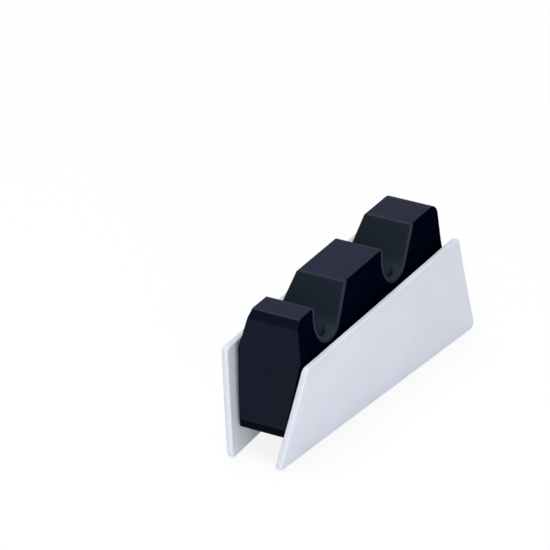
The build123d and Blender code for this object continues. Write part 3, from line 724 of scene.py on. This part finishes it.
class DOCK_OT_terminals(Operator):
    """Pedestals, contact blades and the pads inside the power inlet"""
    bl_idname = "dock.terminals"
    bl_label = "Finish the terminals"

    def execute(self, context):
        settings = context.scene.dock_terminals
        tone = tuple(settings.pedestal)
        pedestal = moulded(
            "pedestal_dark", tone, darker(tone, 0.85), 0.5, 0.06, 0.4 * MM, 0.008 * MM)
        cover(pedestal, "terminal_pedestal_front", "terminal_pedestal_rear")
        plated = brushed("contact_metal", tuple(settings.contact), 0.28)
        cover(
            plated, "contact_front_left", "contact_front_right",
            "contact_rear_left", "contact_rear_right")
        cover(brushed("inlet_steel", paint(190, 192, 196), 0.32), "usb_inlet")
        low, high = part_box("usb_inlet")
        middle_z = (low.z + high.z) / 2
        lift = TONGUE_HALF + PAD_SIZE[2] / 2
        places = [(0, high.y - PAD_SETBACK, middle_z + side * lift) for side in (-1, 1)]
        row = row_tree().grow("inlet_pads", points_object("inlet_pad_rows", places), {
            "Count": settings.pad_count, "Pitch": PAD_PITCH, "Pad size": PAD_SIZE,
            "Material": plated})
        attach(row, ROOT)
        return {"FINISHED"}


class DOCK_OT_boards(Operator):
    """Boards, headers, chips, capacitor, wires and the ballast plate"""
    bl_idname = "dock.boards"
    bl_label = "Finish the electronics"

    def execute(self, context):
        settings = context.scene.dock_boards
        green = self.lacquer(tuple(settings.mask))
        cover(green, "main_board", "contact_board_front", "contact_board_rear")
        header = tuple(settings.header)
        nylon = moulded("header_cream", header, darker(header, 0.9), 0.5, 0.4, 0.3 * MM, 0.01 * MM)
        cover(
            nylon, "contact_header_front", "contact_header_rear",
            "main_header_front", "main_header_rear")
        chip = tuple(settings.chip)
        resin = moulded("chip_black", chip, darker(chip, 0.7), 0.6, 0.4, 0.12 * MM, 0.01 * MM)
        cover(resin, "charger_chip_front", "charger_chip_rear", "inductor_front", "inductor_rear")
        cover(self.can(tuple(settings.sleeve)), "filter_capacitor")
        cover(self.insulation(tuple(settings.wire)), "harness_front", "harness_rear")
        cover(brushed("steel", paint(150, 152, 156), 0.45), "ballast_plate")
        return {"FINISHED"}

    def lacquer(self, tone):
        """Solder mask with copper traces under it."""
        finish = new_finish("board_green")
        across, along = finish.axis("X"), finish.axis("Y")
        traces = finish.step((along * 0.3 + across * (2 * pi / (1.4 * MM))).wave(), 0.55, 0.8)
        cloud = finish.noise(6 * MM)
        lit = finish.between(traces, tone, darker(tone, 1.6))
        finish.surface(
            Base_Color=lit, Roughness=0.3 + 0.1 * cloud, Normal=finish.relief(traces, 0.03 * MM),
            Coat_Weight=0.3)
        return finish.material

    def can(self, sleeve):
        """Capacitor: shrink sleeve with a pale stripe, bare aluminium at the top."""
        finish = new_finish("capacitor_can")
        low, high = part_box("filter_capacitor")
        middle = (low.x + high.x) / 2
        stripe = finish.step(finish.axis("X") - middle, 1.4 * MM, 1.6 * MM)
        top = finish.step(finish.axis("Z"), high.z - 0.5 * MM, high.z - 0.4 * MM)
        paper = finish.between(stripe, sleeve, paint(170, 176, 184))
        finish.surface(
            Base_Color=finish.between(top, paper, paint(200, 202, 206)), Metallic=top * 0.9,
            Roughness=0.35 + 0.1 * finish.noise(1 * MM))
        return finish.material

    def insulation(self, tone):
        """Wire insulation, the two wires of a pair in two colours."""
        finish = new_finish("wire_insulation")
        side = finish.step(finish.axis("X"), -0.2 * MM, 0.2 * MM)
        cloud = finish.noise(1.5 * MM)
        finish.surface(
            Base_Color=finish.between(side, paint(24, 24, 27), tone), Roughness=0.4 + 0.12 * cloud,
            Normal=finish.relief(cloud, 0.01 * MM))
        return finish.material


class DOCK_OT_fixings(Operator):
    """Threaded screws and treaded feet, each kind copied from one part"""
    bl_idname = "dock.fixings"
    bl_label = "Make screws and feet"

    def execute(self, context):
        settings = context.scene.dock_fixings
        steel = brushed("screw_steel", tuple(settings.steel), 0.35)
        up, down = (0, 0, 0), (pi, 0, 0)
        self.upright("base_screws_threaded", "base_screws", down, steel, settings.pitch)
        self.upright("board_screws_threaded", "board_screws", up, steel, settings.pitch)
        self.upright("ballast_screws_threaded", "ballast_screws", up, steel, settings.pitch)
        cover(steel, "module_screws", "panel_screws")
        self.feet(settings)
        return {"FINISHED"}

    def upright(self, name, node, angles, steel, pitch):
        """Screws that stand along Z, with the underside of each head where the CAD has it."""
        boxes = islands(node)
        low, high = boxes[0]
        shank = high.z - low.z - SCREW_HEAD_HEIGHT
        part = mesh_object(name + "_part", *lathe(screw_profile(shank, pitch), 32), steel)
        seats = []
        for low, high in boxes:
            seat = low.z + SCREW_HEAD_HEIGHT if angles[0] else high.z - SCREW_HEAD_HEIGHT
            seats.append(((low.x + high.x) / 2, (low.y + high.y) / 2, seat))
        copies(name, part, seats, [angles] * len(seats), steel, "steel", node)

    def feet(self, settings):
        finish = new_finish("foot_rubber")
        grain = finish.noise(0.3 * MM, detail=3)
        dust = finish.step(finish.noise(2.5 * MM, detail=4), 0.5, 0.8)
        tone = tuple(settings.rubber)
        finish.surface(
            Base_Color=finish.between(dust, tone, paint(62, 61, 60)),
            Roughness=0.8 + 0.1 * (grain - 0.5), Normal=finish.relief(grain, 0.01 * MM),
            Specular_IOR_Level=0.3)
        names = ["foot_front_left", "foot_front_right", "foot_rear_left", "foot_rear_right"]
        boxes = [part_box(name) for name in names]
        low, high = boxes[0]
        profile = foot_profile((high.x - low.x) / 2, high.z - low.z, settings.rings)
        part = mesh_object("foot_part", *lathe(profile, 48), finish.material)
        places = [((low.x + high.x) / 2, (low.y + high.y) / 2, low.z) for low, high in boxes]
        copies(
            "feet_treaded", part, places, [(0, 0, 0)] * len(places), finish.material,
            "foot_rubber", *names)


class DOCK_OT_stage(Operator):
    """Pale floor, soft studio light and the camera"""
    bl_idname = "dock.stage"
    bl_label = "Set the stage"

    def execute(self, context):
        settings = context.scene.dock_stage
        scene = context.scene
        self.floor(settings)
        self.world(scene, settings)
        self.softbox("overhead", *OVERHEAD_LAMP, settings.key)
        self.softbox("side", *SIDE_LAMP, settings.side)
        self.camera(scene, settings)
        scene.view_settings.view_transform = "Standard"
        return {"FINISHED"}

    def seen(self, finish):
        """1 for what the camera sees directly, in a mirror or through glass."""
        camera, glossy, through = (finish.add("ShaderNodeLightPath", output=name) for name in (
            "Is Camera Ray", "Is Glossy Ray", "Is Transmission Ray"))
        return (camera + glossy + through).below(1.0)

    def floor(self, settings):
        """Pale floor that keeps the dock's shadow, brightened for the camera by a plain glow."""
        half = FLOOR_HALF
        corners = [(-half, -half, 0), (half, -half, 0), (half, half, 0), (-half, half, 0)]
        finish = new_finish("floor_pale")
        cloud = finish.noise(0.4, detail=2)
        tone = tuple(settings.floor)
        lit = finish.add("ShaderNodeBsdfDiffuse", inputs={
            "Color": finish.between(cloud, tone, darker(tone, 0.99))})
        glow = finish.add("ShaderNodeEmission", inputs={"Color": WHITE, "Strength": 1.0})
        finish.show(finish.add("ShaderNodeMixShader", inputs={
            0: self.seen(finish) * FLOOR_GLOW, 1: lit, 2: glow}))
        floor = mesh_object("floor", corners, [(0, 1, 2, 3)], finish.material)

    def world(self, scene, settings):
        """Bright walls down to the floor, and a dimmer ceiling that dark gloss mirrors."""
        world = bpy.data.worlds.new("studio")
        scene.world = world
        finish = Finish(world)
        direction = finish.add("ShaderNodeTexCoord", output="Generated")
        height = finish.add("ShaderNodeSeparateXYZ", inputs={0: direction}, output="Z")
        ceiling = self.seen(finish) * finish.step(height, *CEILING_EDGE) * settings.ceiling
        around, plain, dim = (
            finish.add("ShaderNodeBackground", inputs={"Color": tone, "Strength": strength})
            for tone, strength in (
                (COOL_DAYLIGHT, settings.ambient), (WHITE, 1.0), (CEILING_TONE, 1.0)))
        walls = finish.add("ShaderNodeMixShader", inputs={
            0: self.seen(finish), 1: around, 2: plain})
        room = finish.add("ShaderNodeMixShader", inputs={0: ceiling, 1: walls, 2: dim})
        finish.show(room, "ShaderNodeOutputWorld")

    def softbox(self, name, place, size, power):
        light = bpy.data.lights.new(name, "AREA")
        light.shape = "DISK"
        light.size = size
        light.energy = power
        lamp = bpy.data.objects.new(name, light)
        lamp.location = place
        lamp.rotation_mode = "QUATERNION"
        lamp.rotation_quaternion = (Vector(LAMP_TARGET) - Vector(place)).to_track_quat("-Z", "Y")
        bpy.context.scene.collection.objects.link(lamp)

    def camera(self, scene, settings):
        """Camera at the photograph's place: 30 degrees to the right, 26 above the floor."""
        data = bpy.data.cameras.new("camera")
        data.lens = settings.lens
        data.sensor_width = 36
        data.clip_start, data.clip_end = 0.05, 20
        camera = bpy.data.objects.new("camera", data)
        turn = Matrix((CAMERA_RIGHT, CAMERA_UP, CAMERA_BACK)).transposed().normalized().to_4x4()
        camera.matrix_world = Matrix.Translation(CAMERA_PLACE) @ turn
        scene.collection.objects.link(camera)
        scene.camera = camera


class DOCK_PT_panel(Panel):
    """Steps of the dock's finishing, in order"""
    bl_label = "Charging dock"
    bl_space_type = "VIEW_3D"
    bl_region_type = "UI"
    bl_category = "Dock"

    def draw(self, context):
        for settings, operator in STEPS:
            box = self.layout.box()
            box.operator(operator.bl_idname)
            group = getattr(context.scene, settings)
            for name in group.__annotations__:
                box.prop(group, name)


GROUPS = {
    "dock_shell": DockShellSettings,
    "dock_panels": DockPanelSettings,
    "dock_liners": DockLinerSettings,
    "dock_terminals": DockTerminalSettings,
    "dock_boards": DockBoardSettings,
    "dock_fixings": DockFixingSettings,
    "dock_stage": DockStageSettings,
}
STEPS = [
    ("dock_shell", DOCK_OT_shell),
    ("dock_panels", DOCK_OT_panels),
    ("dock_liners", DOCK_OT_liners),
    ("dock_terminals", DOCK_OT_terminals),
    ("dock_boards", DOCK_OT_boards),
    ("dock_fixings", DOCK_OT_fixings),
    ("dock_stage", DOCK_OT_stage),
]


def register():
    for name, group in GROUPS.items():
        bpy.utils.register_class(group)
        setattr(bpy.types.Scene, name, PointerProperty(type=group))
    for _, operator in STEPS:
        bpy.utils.register_class(operator)
    bpy.utils.register_class(DOCK_PT_panel)


def unregister():
    bpy.utils.unregister_class(DOCK_PT_panel)
    for _, operator in reversed(STEPS):
        bpy.utils.unregister_class(operator)
    for name, group in reversed(GROUPS.items()):
        delattr(bpy.types.Scene, name)
        bpy.utils.unregister_class(group)


def main():
    register()
    for _, operator in STEPS:
        step = operator.bl_idname.split(".")[1]
        getattr(bpy.ops.dock, step)()


if __name__ == "__main__":
    main()
